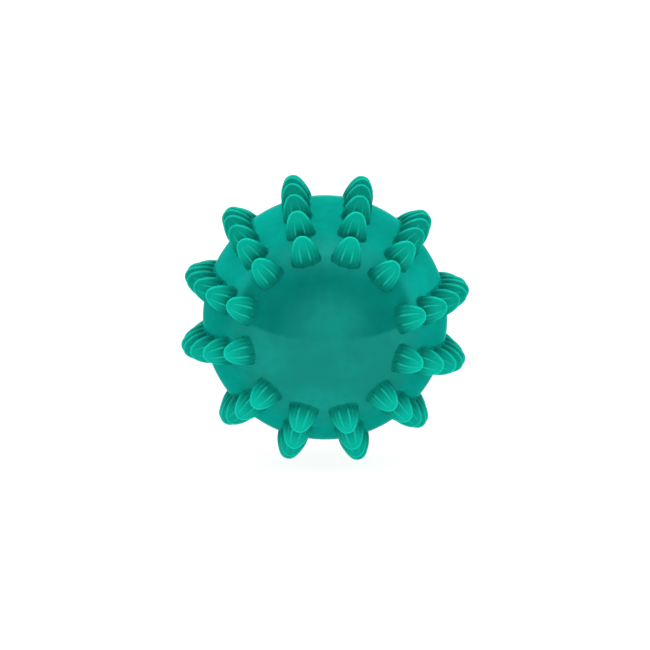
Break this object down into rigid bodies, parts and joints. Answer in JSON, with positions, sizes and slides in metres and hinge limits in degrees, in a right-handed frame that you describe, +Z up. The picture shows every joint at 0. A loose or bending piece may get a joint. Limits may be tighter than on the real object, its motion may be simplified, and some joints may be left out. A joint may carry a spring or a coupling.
{
  "type": "massage ball",
  "caption": "Hollow soft massage ball with rows of ribbed fins standing out from its axis, smooth end caps and a pull-out air plug.",
  "frame": {"origin": "centre of the ball", "axes": "+Z up with the ball standing on two fin rows, +Y along the polar axis towards the rear cap and its valve, -Y the front cap, +X to the right as seen from the front"},
  "size_m": [0.088, 0.0748, 0.0872],
  "materials": {
    "ball_skin": "smooth satin soft PVC, glossier between the fins",
    "valve_rubber": "matt soft rubber",
    "plug_plastic": "smooth semi-gloss flexible plastic"
  },
  "bodies": {
    "ball": {"upper_half_shell": "ball_skin", "lower_half_shell": "ball_skin", "valve_bush": "valve_rubber"},
    "plug": {"valve_plug": "plug_plastic"}
  },
  "joints": [
    {"name": "plug_pull", "type": "slide", "parent": "ball", "child": "plug", "axis": [0, 1, 0], "range_m": [0, 0.012]}
  ]
}
